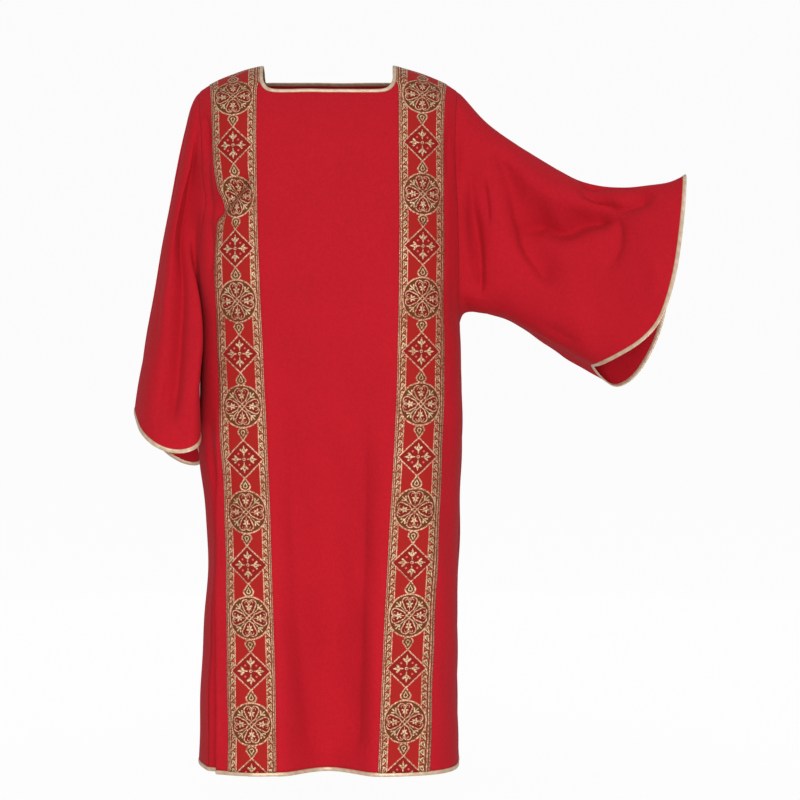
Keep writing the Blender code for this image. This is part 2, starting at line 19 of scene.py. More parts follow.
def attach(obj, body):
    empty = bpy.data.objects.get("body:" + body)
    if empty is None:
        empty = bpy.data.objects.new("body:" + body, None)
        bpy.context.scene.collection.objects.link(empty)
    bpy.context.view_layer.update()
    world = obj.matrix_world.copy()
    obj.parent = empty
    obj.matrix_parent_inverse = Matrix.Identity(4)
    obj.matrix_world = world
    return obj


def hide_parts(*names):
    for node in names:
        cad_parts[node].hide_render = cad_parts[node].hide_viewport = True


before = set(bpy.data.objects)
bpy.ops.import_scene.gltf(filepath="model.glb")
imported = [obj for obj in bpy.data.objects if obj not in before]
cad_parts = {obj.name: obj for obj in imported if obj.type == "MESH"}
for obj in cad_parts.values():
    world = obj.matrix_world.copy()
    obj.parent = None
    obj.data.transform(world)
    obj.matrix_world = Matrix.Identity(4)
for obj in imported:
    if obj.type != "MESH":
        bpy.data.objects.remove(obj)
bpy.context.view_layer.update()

FRONT, BACK = -1, 1
MILLI = 1000.0            # millimetres in a metre


def list_of(kind, *rows):
    """A table's rows, each as one of its kind."""
    return [kind(*row) for row in rows]


# ---------------------------------------------------------------- sizes
CLOTH = 0.0010            # the crepe
GALLOON = 0.0009          # the woven band
GALLOON_WIDTH = 0.096
BAND_GAP = 0.0002         # between the crepe and the band sewn to it
BINDING_WIDTH = 0.0065

CHEST = -0.160            # where the shoulder's curve has turned into the upright front
UNDERARM = -0.475
HEM = -1.298
SHOULDER_X = 0.240        # armhole's top, on the shoulder ridge
SHOULDER_DROP = 0.045
RIDGE_START = 0.110       # the ridge is level up to here, under the neck
RIDGE_POWER = 1.6

NECK_HALF = 0.1265        # from the middle to the neck's sides, beside which the bands lie
NECK_CORNER = 0.025       # radius of the square neck's corners
NECK_DEPTH = {FRONT: 0.063, BACK: 0.028}
NECK_FADE = 0.45          # how far down the rows of the sheet still follow the neck's corners
BAND_ON_RIDGE = 0.100     # how much of the ridge a band takes up, as it follows the neck
HANGING_MOUTH = -0.7      # level of the hanging sleeve's mouth
LEAN_DEPTH = 0.12         # depth of the section's front over which the left half's lean sets in

# ---------------------------------------------------------------- body sections
# One row for each level: half widths, depths in front and behind, squareness of the section,
# how far the left half leans in at the front, depth of the valley between the two bands, and
# how far from the middle the bands' inner edges lie in front and behind.
Section = namedtuple(
    "Section", "z left right front back square lean valley inner_left inner_right inner_back"
)
SECTIONS = list_of(
    Section,
    (CHEST, 0.250, 0.250, 0.118, 0.105, 2.6, 0.00, 0.000, 0.1223, 0.1280, 0.1270),
    (-0.28, 0.248, 0.252, 0.134, 0.124, 2.8, 0.00, 0.000, 0.1198, 0.1295, 0.1280),
    (-0.40, 0.243, 0.250, 0.139, 0.128, 3.0, 0.00, 0.003, 0.1148, 0.1285, 0.1270),
    (UNDERARM, 0.238, 0.246, 0.140, 0.128, 3.0, 0.02, 0.010, 0.1113, 0.1270, 0.1260),
    (-0.56, 0.238, 0.251, 0.140, 0.128, 3.1, 0.03, 0.020, 0.1068, 0.1255, 0.1240),
    (-0.65, 0.241, 0.251, 0.140, 0.128, 3.3, 0.04, 0.029, 0.1028, 0.1230, 0.1220),
    (-0.72, 0.243, 0.249, 0.140, 0.129, 3.4, 0.05, 0.034, 0.0998, 0.1192, 0.1200),
    (-0.80, 0.235, 0.246, 0.140, 0.131, 3.6, 0.06, 0.040, 0.0963, 0.1145, 0.1180),
    (-0.88, 0.226, 0.244, 0.141, 0.133, 3.8, 0.06, 0.045, 0.0938, 0.1095, 0.1160),
    (-0.95, 0.230, 0.242, 0.142, 0.135, 3.9, 0.07, 0.048, 0.0918, 0.1060, 0.1140),
    (-1.05, 0.236, 0.240, 0.144, 0.139, 4.1, 0.08, 0.054, 0.0878, 0.1005, 0.1120),
    (-1.16, 0.242, 0.240, 0.146, 0.143, 4.3, 0.09, 0.060, 0.0848, 0.0960, 0.1090),
    (HEM, 0.2445, 0.243, 0.147, 0.146, 4.5, 0.10, 0.065, 0.0836, 0.0905, 0.1070),
)

# Depth (y) at which the front and the back end on each side: along the armholes down to the
# underarm, and below it along the side seams, which both share.
Seam = namedtuple("Seam", "z front_left front_right back_left back_right")
SEAMS = list_of(
    Seam,
    (CHEST, -0.058, -0.058, 0.050, 0.050),
    (-0.30, -0.062, -0.060, 0.055, 0.055),
    (-0.39, -0.058, -0.056, 0.052, 0.052),
    (-0.435, -0.047, -0.046, 0.043, 0.043),
    (-0.462, -0.028, -0.028, 0.026, 0.026),
    (UNDERARM, 0.000, 0.000, 0.000, 0.000),
    (-0.60, -0.045, 0.000, -0.045, 0.000),
    (-0.76, -0.092, 0.003, -0.092, 0.003),
    (HEM, -0.100, 0.010, -0.100, 0.010),
)

# Upright folds of the back: where they are at the hem, how wide and deep, and where they start.
BackFold = namedtuple("BackFold", "x half_width depth start")
BACK_FOLDS = list_of(
    BackFold,
    (-0.045, 0.055, 0.038, -0.50),
    (0.062, 0.045, 0.030, -0.62),
)

# ---------------------------------------------------------------- sleeves
# Edges of each sleeve beyond the armhole: along the arm, along the underarm seam, and down the
# front and the back of the mouth, as points in millimetres.
Sleeve = namedtuple("Sleeve", "name side over under mouth")
HELD_OUT = Sleeve(
    "sleeve_left", 1,
    over=(
        (258, 0, -62), (272, 0, -81), (287, -2, -101), (309, -4, -120), (337, -6, -139),
        (395, -13, -177), (457, -28, -215), (472, -35, -224), (502, -50, -230), (527, -70, -236),
        (575, -100, -235), (620, -130, -233), (647, -140, -218),
    ),
    under=(
        (253, 0, -466), (266, 0, -462), (282, 0, -461), (307, 0, -464), (330, -2, -471),
        (374, -10, -493), (410, -20, -516), (453, -35, -539), (488, -62, -560),
    ),
    mouth={FRONT: (
        (646, -160, -222), (642, -178, -250), (638, -188, -287), (633, -190, -331),
        (627, -190, -376), (619, -188, -421), (607, -185, -461), (589, -178, -498),
        (566, -168, -519), (535, -150, -538), (507, -125, -553), (493, -95, -561),
    ), BACK: (
        (646, -120, -222), (643, -102, -246), (640, -90, -283), (634, -70, -355),
        (626, -55, -440), (619, -48, -485), (607, -42, -515), (586, -30, -560), (562, -20, -591),
        (537, -18, -601), (513, -25, -589), (496, -42, -569),
    )},
)
HANGING = Sleeve(
    "sleeve_right", -1,
    over=(
        (-253, 0, -62), (-260, 0, -82), (-267, 0, -120), (-276, 0, -157), (-294, 0, -250),
        (-311, 0, -343), (-327, 0, -436.5), (-343, 0, -530), (-360, 0, -642),
    ),
    under=(
        (-243, 0, -474.5), (-251, 0, -484), (-257, 1, -520), (-260, 3, -580), (-258, 5, -655),
    ),
    mouth={FRONT: (
        (-357, -32, -647), (-350, -62, -659), (-338, -98, -680), (-319, -132, -701),
        (-295, -155, -714), (-272, -163, -721), (-252, -160, -723), (-233, -147, -716),
        (-224, -124, -698), (-238, -80, -677), (-253, -40, -664),
    ), BACK: (
        (-357, 32, -648), (-350, 64, -664), (-338, 105, -695), (-321, 138, -724),
        (-300, 156, -741), (-280, 162, -751), (-262, 156, -755), (-251, 130, -748),
        (-251, 85, -722), (-256, 40, -682),
    )},
)

# Troughs (positive depth) and ridges of the sleeves, in millimetres, in the front's cloth and the
# back's. Each runs along a line of three points, given as x and z.
Fold = namedtuple("Fold", "path half_width depth")
FOLDS = {
    FRONT: list_of(
        Fold,
        (((-246, -200), (-260, -420), (-280, -735)), 36, 24),
        (((264, -170), (279, -290), (287, -440)), 24, 15),
        (((314, -165), (359, -300), (417, -430)), 31, 22),
        (((350, -305), (438, -318), (522, -295)), 30, 16),
        (((290, -150), (400, -243), (560, -262)), 55, -20),
        (((475, -249), (527, -303), (500, -390)), 28, 12),
    ),
    BACK: list_of(
        Fold,
        (((-270, -240), (-290, -500), (-296, -760)), 36, 20),
        (((290, -150), (400, -243), (560, -262)), 55, -18),
        (((285, -150), (310, -300), (330, -430)), 30, 15),
        (((350, -220), (410, -330), (470, -470)), 34, 17),
        (((480, -280), (520, -360), (560, -480)), 32, 14),
    ),
}

# Where the cloth bunches in front of the wearer's right armpit: the place, how far the bunch
# reaches, how far it moves the cloth, and the depths (y) from which and over which it sets in.
Bunch = namedtuple("Bunch", "x z reach dx dy front fade")
BUNCH = Bunch(-0.205, -0.266, 0.075, 0.016, -0.008, -0.02, 0.04)

# How the hanging sleeve's inner fold laps over the body's side: the level where it starts, where
# it is all there and where it ends, how far it moves the fold, and where and over what widths it
# sets in towards the body and towards the front.
Lap = namedtuple("Lap", "start full end dx dy inner inner_fade front front_fade")
LAP = Lap(-0.320, -0.42, -0.72, 0.027, -0.014, -0.29, 0.045, -0.03, 0.06)

# ---------------------------------------------------------------- how the sheet is divided
# Across a body panel the stations are: 0 its first edge, 1 and 2 the first band's edges, 3 and 4
# the second band's edges, 5 its other edge. Down it: 0 the shoulder ridge, 1 CHEST, 2 UNDERARM,
# 3 the hem's edge.
EDGE_STRIP = [0.0, 0.34, 0.67, 1.0]
BAND_STRIP = [1.0, 1.3333, 1.6667, 2.0]
CENTRE = [0.0, 0.04, 0.11, 0.26, 0.42, 0.58, 0.74, 0.89, 0.96, 1.0]
FIRST_SIDE = EDGE_STRIP + BAND_STRIP[1:]
SECOND_SIDE = [5.0 - u for u in reversed(FIRST_SIDE)]
CENTRE_STATIONS = [2.0 + u for u in CENTRE]
NECK_ROWS = 3             # shoulder rows above the neckline's corner
SHOULDER = {
    FRONT: [0.0, 0.155, 0.31, 0.455, 0.585, 0.72, 0.86],
    BACK: [0.0, 0.12, 0.245, 0.38, 0.53, 0.69, 0.85],
}
ARMHOLE = [1.0, 1.16, 1.32, 1.47, 1.61, 1.73, 1.83, 1.91, 1.965]
SKIRT_ROWS = 15
SLEEVE_RINGS = [0, 0.025, 0.06, 0.11, 0.175, 0.25, 0.33, 0.41, 0.49, 0.57, 0.65, 0.73, 0.81, 0.88,
                0.95, 1]
RING_SAMPLES = 721
CURVE_SAMPLES = 12        # between two points of an edge
WELD = 0.00005            # points nearer than this are one
SMOOTHING_PASSES = 2
FINER = 3                 # times that the smooth sheet halves its faces

PIECES = ["front", "back", "sleeve_right", "sleeve_left"]
BAND_NAMES = ["clavus_right", "clavus_left"]
BAND_STARTS = {"clavus_right": 0.0, "clavus_left": -0.005}  # where the pattern starts at the hem


def row_at(table, z):
    """The table's row for level z, worked out between the two rows around it."""
    levels = [row.z for row in reversed(table)]
    columns = zip(*reversed(table))
    return type(table[0])(*(float(np.interp(z, levels, column)) for column in columns))


def smooth_step(t):
    t = np.clip(t, 0.0, 1.0)
    return t * t * (3.0 - 2.0 * t)


def hump(t):
    """1 in the middle of a fold, where t is 0, and 0 from its edges on, where t is -1 or 1."""
    return 0.5 + 0.5 * np.cos(pi * np.clip(t, -1, 1))


def run_lengths(points):
    """Lengths from the first of a row of points to each of them."""
    steps = np.linalg.norm(np.diff(np.array(points, float), axis=0), axis=1)
    return np.concatenate([[0.0], np.cumsum(steps)])


def ring_at(z):
    """The body's closed section at level z: arc length from the front's middle, x and y.
    It runs from the back's middle along the wearer's right, the front and the left."""
    row = row_at(SECTIONS, z)
    turn = np.linspace(-pi, pi, RING_SAMPLES)
    across, ahead = np.sin(turn), np.cos(turn)
    power = 2.0 / row.square
    x = np.sign(across) * np.abs(across) ** power * np.where(across < 0, row.left, row.right)
    y = -np.sign(ahead) * np.abs(ahead) ** power * np.where(ahead > 0, row.front, row.back)
    x = np.where(x < 0, x * (1.0 - row.lean * smooth_step(-y / LEAN_DEPTH)), x)
    middle = (row.inner_right - row.inner_left) / 2.0
    half = (row.inner_right + row.inner_left) / 2.0
    y = y + np.where(ahead > 0, row.valley * hump((x - middle) / half), 0.0)
    for fold in BACK_FOLDS:
        share = smooth_step((z - fold.start) / (HEM - fold.start))
        trough = share * fold.depth * hump((x - fold.x) / fold.half_width)
        y = y - np.where(ahead < 0, trough, 0.0)
    arc = run_lengths(np.stack([x, y], axis=1))
    arc -= arc[RING_SAMPLES // 2]
    return turn, arc, x, y


@cache
def station_arcs(face, z):
    """Arc lengths of a panel's six stations at level z, and the ring they lie on."""
    turn, arc, x, y = ring_at(z)
    row, seam = row_at(SECTIONS, z), row_at(SEAMS, z)
    ends = []
    for side in (-1, 1):
        flank = (side * turn > 0.3 * pi) & (side * turn < 0.7 * pi)
        depths, arcs = y[flank], arc[flank]
        order = np.argsort(depths)
        # the tables' left is -X, the wearer's right
        name = ("front_" if face == FRONT else "back_") + ("left" if side < 0 else "right")
        ends.append(float(np.interp(getattr(seam, name), depths[order], arcs[order])))
    if face == FRONT:
        ahead = np.abs(turn) < 0.5 * pi
        inner = np.interp([-row.inner_left, row.inner_right], x[ahead], arc[ahead])
    else:
        whole = arc[-1] - arc[0]
        left, right = turn > 0.5 * pi, turn < -0.5 * pi
        inner = [np.interp(row.inner_back, x[left][::-1], arc[left][::-1]),
                 np.interp(row.inner_back, -x[right], arc[right]) + whole]
        ends = [ends[1], ends[0] + whole]
    stations = [ends[0], inner[0] - GALLOON_WIDTH, inner[0],
                inner[1], inner[1] + GALLOON_WIDTH, ends[1]]
    return stations, arc, x, y


def ridge_height(x):
    past = max(0.0, abs(x) - RIDGE_START) / (SHOULDER_X - RIDGE_START)
    return -SHOULDER_DROP * past ** RIDGE_POWER


def ridge_x(face, u):
    """x of station u on the shoulder ridge, where the bands lie flat beside the neck."""
    outer = NECK_HALF + BAND_ON_RIDGE
    xs = [-SHOULDER_X, -outer, -NECK_HALF, NECK_HALF, outer, SHOULDER_X]
    x = float(np.interp(u, range(6), xs))
    return x if face == FRONT else -x


def panel_point(face, u, v):
    """The sheet's point at station u across and v down the front or the back."""
    level = float(np.interp(v, [1, 2, 3], [CHEST, UNDERARM, HEM + BINDING_WIDTH]))
    stations, arc, x, y = station_arcs(face, level)
    at = float(np.interp(u, range(6), stations))
    if at > arc[-1]:
        at -= arc[-1] - arc[0]
    px, py = float(np.interp(at, arc, x)), float(np.interp(at, arc, y))
    if v >= 1:
        return Vector((px, py, level))
    top = ridge_x(face, u)
    lift = ridge_height(top)
    lean, drop = sin(v * pi / 2), 1 - cos(v * pi / 2)
    return Vector((top + (px - top) * lean, py * lean, lift + (CHEST - lift) * drop))


def neck_row(face, u, v, first):
    """v of a row near the neckline: square across the middle, round at the corners.
    first is the row that starts at the corner, and rows further down feel it less."""
    straight = 2 / pi * np.arccos(1 + NECK_DEPTH[face] / CHEST)
    inset = (0.5 - abs(u - 2.5)) * 2 * NECK_HALF / NECK_CORNER
    dip = sqrt(max(0.0, 1 - (1 - min(inset, 1)) ** 2))
    fade = max(0.0, 1 - (v - first) / NECK_FADE)
    return v + (straight - first) * dip * fade


def edge_curve(points, t):
    """The point at share t of the length of a smooth curve through the points."""
    knots = np.array(points, float)
    padded = np.vstack([2 * knots[0] - knots[1], knots, 2 * knots[-1] - knots[-2]])
    samples = []
    for a, b, c, d in zip(padded, padded[1:], padded[2:], padded[3:]):
        for s in np.linspace(0, 1, CURVE_SAMPLES, endpoint=False):
            samples.append(0.5 * (2 * b + (c - a) * s + (2 * a - 5 * b + 4 * c - d) * s ** 2
                                  + (3 * b - a - 3 * c + d) * s ** 3))
    samples = np.array(samples + [knots[-1]])
    length = run_lengths(samples)
    share = np.atleast_1d(t) * length[-1]
    return np.array([np.interp(share, length, samples[:, i]) for i in range(3)]).T


def sleeve_grid(sleeve, face, armhole, rings):
    """Points of one half of a sleeve, [from the armhole to the mouth][down the armhole].
    It is spanned between its four edges, and its cloth stops short of the mouth by the binding."""
    armhole = np.array(armhole, float)
    length = run_lengths(armhole)
    down = length / length[-1]
    edges = sleeve.over, sleeve.under, sleeve.mouth[face]
    over, under, mouth = (np.array(edge) / MILLI for edge in edges)
    end = edge_curve([over[-1], *mouth, under[-1]], down)
    over_knots, under_knots = [armhole[0], *over], [armhole[-1], *under]
    reach = np.linalg.norm(end - armhole, axis=1)
    grid = []
    for w in rings:
        share = w * (1 - BINDING_WIDTH / reach)
        over, under = edge_curve(over_knots, share), edge_curve(under_knots, share)
        q, s = down[:, None], share[:, None]
        spanned = (1 - q) * over + q * under + (1 - s) * armhole + s * end
        corners = ((1 - q) * (1 - s) * armhole[0] + q * (1 - s) * armhole[-1]
                   + (1 - q) * s * end[0] + q * s * end[-1])
        grid.append(spanned - corners)
    return np.array(grid)


def follow(path, x, z):
    """Where points seen along Y are beside a path of x, z points: how far from it, at what share
    of it, and on which hand."""
    nearest, hand, at = np.full(x.shape, np.inf), np.zeros(x.shape), np.zeros(x.shape)
    for i, (start, end) in enumerate(zip(path, path[1:])):
        run = end - start
        t = np.clip(((x - start[0]) * run[0] + (z - start[1]) * run[1]) / (run @ run), 0, 1)
        dx, dz = x - start[0] - t * run[0], z - start[1] - t * run[1]
        near = np.hypot(dx, dz)
        closer = near < nearest
        nearest = np.where(closer, near, nearest)
        hand = np.where(closer, run[0] * dz - run[1] * dx, hand)
        at = np.where(closer, (i + t) / (len(path) - 1), at)
    return nearest, at, hand


def fold_shift(face, x, z):
    """How far the sleeves' folds push the cloth in at points seen along Y."""
    shift = np.zeros(x.shape)
    for fold in FOLDS[face]:
        path = np.array(fold.path) / MILLI
        nearest, at, _ = follow(path, x, z)
        if path[-1, 1] < HANGING_MOUTH:
            taper = np.minimum(1.0, 4 * at)     # it doesn't die away before the mouth
        else:
            taper = np.sin(pi * np.clip(at, 0.04, 0.96))
        shift += fold.depth / MILLI * taper * hump(nearest * MILLI / fold.half_width)
    return shift


def add_grid(form, grid, places):
    """Adds a grid of points, [across][down], to a form as faces, with the points' places on its
    map. Returns the faces."""
    across, down = len(grid), len(grid[0])
    made = bmesh.ops.create_grid(form, x_segments=across - 1, y_segments=down - 1, size=1)["verts"]
    spots = {}
    for vert in made:
        i = round((vert.co.x + 1) / 2 * (across - 1))
        j = round((1 - vert.co.y) / 2 * (down - 1))
        spots[vert] = places[i][j]
        vert.co = Vector(grid[i][j])
    faces = {face for vert in made for face in vert.link_faces}
    uv = form.loops.layers.uv["cut"]
    for face in faces:
        for loop in face.loops:
            loop[uv].uv = spots[loop.vert]
    return faces


def lay_patch(sheet, grid, piece, face_side, band=None, over=0.0):
    """Adds a grid to the sheet as faces of one piece. Its map is in metres. A band's map runs up
    from the front hem, and from over, its length up to the shoulder, down the back, so that its
    rows lie level on both sides."""
    widths = run_lengths([row[len(row) // 2] for row in grid])
    if band is not None:
        widths = np.linspace(-0.5, 0.5, len(grid)) * GALLOON_WIDTH
    rises = [run_lengths(row[::-1])[::-1] for row in grid]
    if face_side == BACK:
        rises = [over + rises[len(grid) // 2][0] - rise for rise in rises]
    start = BAND_STARTS.get(band, 0.0)
    places = [[(width, up + start) for up in rise] for width, rise in zip(widths, rises)]
    layers = sheet.faces.layers.int
    for face in add_grid(sheet, grid, places):
        face[layers["piece"]] = PIECES.index(piece)
        face[layers["side"]] = face_side
        face[layers["band"]] = 0 if band is None else BAND_NAMES.index(band) + 1


def body_rows(face):
    return SHOULDER[face] + ARMHOLE + [2 + i / SKIRT_ROWS for i in range(SKIRT_ROWS + 1)]


def front_length(band):
    """Length of a band's middle line from the front hem up to the shoulder ridge."""
    u = 1.5 if band == BAND_NAMES[0] else 3.5
    return run_lengths([panel_point(FRONT, u, v) for v in body_rows(FRONT)])[-1]


def lay_panel(sheet, face, piece):
    """The front or the back: a strip on each side of the neck, and the middle below it."""
    rows = body_rows(face)
    hands = BAND_NAMES if face == FRONT else BAND_NAMES[::-1]
    for stations, band in ((FIRST_SIDE, hands[0]), (SECOND_SIDE, hands[1])):
        inside = [u for u in stations if 1 <= u <= 4]
        outside = [u for u in stations if u <= 1 or u >= 4]
        lay_patch(sheet, [[panel_point(face, u, v) for v in rows] for u in outside], piece, face)
        banded = [[panel_point(face, u, v) for v in rows] for u in inside]
        lay_patch(sheet, banded, piece, face, band, front_length(band))
    first = rows[NECK_ROWS]
    middle = [[panel_point(face, u, neck_row(face, u, v, first)) for v in rows[NECK_ROWS:]]
              for u in CENTRE_STATIONS]
    lay_patch(sheet, middle, piece, face)


def lay_sleeve(sheet, sleeve):
    for face in (FRONT, BACK):
        rows = [v for v in body_rows(face) if v <= 2]
        first_end = (face == FRONT) == (sleeve.side < 0)
        armhole = [panel_point(face, 0 if first_end else 5, v) for v in rows]
        grid = sleeve_grid(sleeve, face, armhole, SLEEVE_RINGS)
        free = grid[1:, 1:-1]
        free[..., 1] -= face * fold_shift(face, free[..., 0], free[..., 2])
        if first_end:
            grid = grid[::-1]
        lay_patch(sheet, grid, sleeve.name, face)


def lay_sheet():
    """The whole garment as one seamless coarse sheet."""
    sheet = bmesh.new()
    for layer in ("piece", "side", "band"):
        sheet.faces.layers.int.new(layer)
    sheet.loops.layers.uv.new("cut")
    facing = sheet.verts.layers.float.new("facing")
    lay_panel(sheet, FRONT, "front")
    lay_panel(sheet, BACK, "back")
    lay_sleeve(sheet, HELD_OUT)
    lay_sleeve(sheet, HANGING)
    bmesh.ops.remove_doubles(sheet, verts=sheet.verts, dist=WELD)
    ease_armholes(sheet)
    bunch_cloth(sheet)
    lap_sleeve(sheet)
    side = sheet.faces.layers.int["side"]
    for vert in sheet.verts:
        vert[facing] = sum(face[side] for face in vert.link_faces) / len(vert.link_faces)
    return sheet


def bunch_cloth(sheet):
    """Pushes the front's cloth forward and towards the middle before the lowered arm."""
    for vert in sheet.verts:
        x, y, z = vert.co
        share = hump(dist((x, z), (BUNCH.x, BUNCH.z)) / BUNCH.reach)
        share *= np.clip((BUNCH.front - y) / BUNCH.fade, 0, 1)
        vert.co = (x + share * BUNCH.dx, y + share * BUNCH.dy, z)


def lap_sleeve(sheet):
    """Lays the hanging sleeve's inner fold over the front of the body's side."""
    layer = sheet.faces.layers.int["piece"]
    sleeve = PIECES.index("sleeve_right")
    for vert in sheet.verts:
        if any(face[layer] != sleeve for face in vert.link_faces):
            continue
        x, y, z = vert.co
        share = smooth_step((LAP.start - z) / (LAP.start - LAP.full))
        share *= smooth_step((z - LAP.end) / (LAP.full - LAP.end))
        share *= smooth_step((x - LAP.inner) / LAP.inner_fade)
        share *= smooth_step((LAP.front - y) / LAP.front_fade)
        vert.co = (x + share * LAP.dx, y + share * LAP.dy, z)


def ease_armholes(sheet):
    """Rounds the turn from the body into the sleeves, as cloth does across a seam."""
    layer = sheet.faces.layers.int["piece"]
    near = {
        vert for vert in sheet.verts
        if len({face[layer] >= 2 for face in vert.link_faces}) == 2
    }
    for _ in range(2):
        near |= {edge.other_vert(vert) for vert in near for edge in vert.link_edges}
    inner = [vert for vert in near if not vert.is_boundary]
    for _ in range(SMOOTHING_PASSES):
        bmesh.ops.smooth_vert(
            sheet, verts=inner, factor=0.5, use_axis_x=True, use_axis_y=True, use_axis_z=True
        )


# ---------------------------------------------------------------- creases
# A crease is a trough (positive depth) or a ridge along a smooth path of x, z points in
# millimetres, as seen from the front, in the front's cloth or the back's. left and right are its
# widths on the two sides of the path, looking along it; rise and fall are the shares of its length
# over which it sets in and dies away.
Crease = namedtuple("Crease", "left right depth rise fall path")
FRONT_CREASES = list_of(
    Crease,
    # the held-out sleeve: pulls beside the band, long creases below the shoulder
    (6, 7, 6, 0.25, 0.5, ((240, -130), (242, -185), (241.5, -225), (242, -275))),
    (8, 6, 3.5, 0.3, 0.4, ((222.5, -118), (221.5, -175), (223, -240))),
    (6, 20, 19, 0.5, 0.14, ((262, -190), (268.5, -250), (275.5, -302), (281.5, -363),
                            (283.5, -409), (282.5, -437))),
    (6, 11, 9, 0.4, 0.4, ((286, -205), (292, -256), (298, -312))),
    (36, 9, 16, 0.18, 0.15, ((305, -155), (326, -210), (341, -256), (354, -304),
                             (366, -348), (384, -378), (411, -424))),
    # the arm's underside and the elbow's turn
    (46, 10, 27, 0.2, 0.2, ((348, -306), (386, -311), (417, -320), (439, -319),
                            (463, -308), (494, -301), (526, -299))),
    (12, 7, 7, 0.2, 0.2, ((352, -306), (386, -311), (417, -320), (439, -319),
                          (463, -308), (494, -301), (526, -299))),
    (34, 13, 19, 0.2, 0.2, ((452, -226), (476, -240), (500, -262), (524, -281),
                            (560, -270), (594, -251))),
    (8, 18, 11, 0.3, 0.5, ((510, -276), (527.5, -310), (527, -348), (515, -378),
                           (492, -398))),
    # the underarm's tuck and the slack below it
    (7, 9, 4, 0.3, 0.3, ((243, -420), (254, -443), (265, -464), (292, -470))),
    (9, 12, 4.5, 0.4, 0.4, ((232, -385), (233.5, -440), (237, -520))),
    (14, 16, 6, 0.4, 0.4, ((385, -478), (425, -503), (470, -528))),
    (22, 22, -4, 0.4, 0.4, ((560, -320), (590, -400), (575, -480))),
    # the hanging sleeve
    (8, 24, 24.5, 0.2, 0.12, ((-236, -85), (-244, -133), (-247.2, -206), (-252.6, -278),
                              (-258, -351), (-260, -423), (-263.5, -496), (-267, -569),
                              (-273.5, -641), (-281, -680))),
    (8, 10, 8, 0.2, 0.3, ((-220.6, -85), (-220.6, -160), (-220.6, -255), (-215, -306),
                          (-210, -352), (-213.5, -447))),
    (6, 7, 11, 0.4, 0.5, ((-223.5, -92), (-223.5, -135), (-225, -190))),
    (12, 12, 5, 0.4, 0.4, ((-300, -330), (-312, -430), (-318, -560))),
    (14, 14, 6, 0.4, 0.5, ((-285, -560), (-300, -640), (-302, -700))),
    # the front: the bunch over the band, and the slack beside the bands
    (30, 12, 20, 0.25, 0.3, ((-212, -300), (-184, -268), (-129, -212))),
    (18, 14, -7, 0.3, 0.4, ((-210, -252), (-180, -228), (-146, -196))),
    (20, 8, 16, 0.2, 0.02, ((-211, -640), (-211, -950), (-211, -1310))),
    (10, 10, -11, 0.2, 0.02, ((-195, -600), (-195, -950), (-195, -1310))),
    (20, 18, 4.5, 0.4, 0.05, ((226, -560), (224, -900), (228, -1300))),
    (40, 40, -4, 0.4, 0.3, ((-30, -130), (-36, -320), (-30, -560))),
    (20, 40, 11, 0.4, 0.1, ((71, -560), (64, -900), (50, -1280))),
    (30, 30, 8, 0.4, 0.1, ((-66, -620), (-52, -940), (-24, -1280))),
)
BACK_CREASES = list_of(
    Crease,
    # the yoke's pulls and the sleeves' creases
    (18, 12, 8, 0.3, 0.5, ((-190, -140), (-150, -210), (-120, -330))),
    (16, 16, 7, 0.3, 0.5, ((185, -150), (150, -230), (138, -360))),
    (26, 20, 7, 0.4, 0.4, ((20, -260), (14, -440), (30, -640))),
    (16, 22, 8, 0.5, 0.02, ((-172, -700), (-180, -1000), (-176, -1310))),
    (18, 14, 8, 0.5, 0.02, ((168, -620), (176, -960), (180, -1310))),
    (14, 8, 12, 0.4, 0.1, ((275, -190), (288, -280), (300, -370), (318, -445))),
    (9, 18, 13, 0.4, 0.15, ((330, -190), (368, -280), (410, -380), (446, -490))),
    (18, 10, 10, 0.3, 0.3, ((375, -300), (430, -335), (490, -330), (540, -310))),
    (12, 16, 9, 0.4, 0.2, ((500, -290), (540, -380), (560, -500))),
    (16, 10, 12, 0.4, 0.12, ((-252, -180), (-268, -330), (-284, -500), (-292, -700))),
    (12, 12, 7, 0.4, 0.3, ((-310, -360), (-318, -500), (-326, -620))),
)
CREASES = {FRONT: FRONT_CREASES, BACK: BACK_CREASES}

# Long soft waves of the hanging cloth: how many of them in a metre, their turn and their height.
Wave = namedtuple("Wave", "across down turn height")
WAVES = list_of(
    Wave,
    (7.3, 0.9, 0.4, 0.0011),
    (12.1, 2.3, 2.1, 0.0007),
    (4.2, 6.8, 1.3, 0.0008),
    (18.7, 5.1, 4.0, 0.0004),
)
LEAST_WAVE = 0.35         # share of their height that the waves have at the shoulders
WAVES_START = -0.15       # the level from which down they grow
WAVES_GROW = 0.6          # how far below it they have all their height
BACK_TURN = 0.6           # keeps the back's waves from lying behind the front's
FACING_FADE = 2.5         # how fast creases fade where the cloth turns from front to back
SEAM_DIP = 0.0009         # how far the cloth sinks along a sewn seam
SEAM_REACH = 0.0045
SEAM_LIMIT = 0.03         # distances from a seam are worked out up to here
STEEPNESS = 1.25          # how fast a crease's sides rise, for its width
ROUNDING = 0.22           # how round a crease's bottom is, as a share of its width
PATH_STEPS = 25


def crease_shift(crease, x, z):
    """How far one crease moves the cloth in at points seen along Y."""
    knots = [(px / MILLI, 0.0, pz / MILLI) for px, pz in crease.path]
    path = edge_curve(knots, np.linspace(0, 1, PATH_STEPS))[:, [0, 2]]
    nearest, along, hand = follow(path, x, z)
    share = nearest * MILLI / np.where(hand > 0, crease.left, crease.right)
    profile = np.exp(-STEEPNESS * (np.sqrt(share ** 2 + ROUNDING ** 2) - ROUNDING))
    taper = smooth_step(along / crease.rise) * smooth_step((1 - along) / crease.fall)
    return crease.depth / MILLI * profile * taper


def add_object(name, data):
    made = bpy.data.objects.new(name, data)
    bpy.context.scene.collection.objects.link(made)
    return made


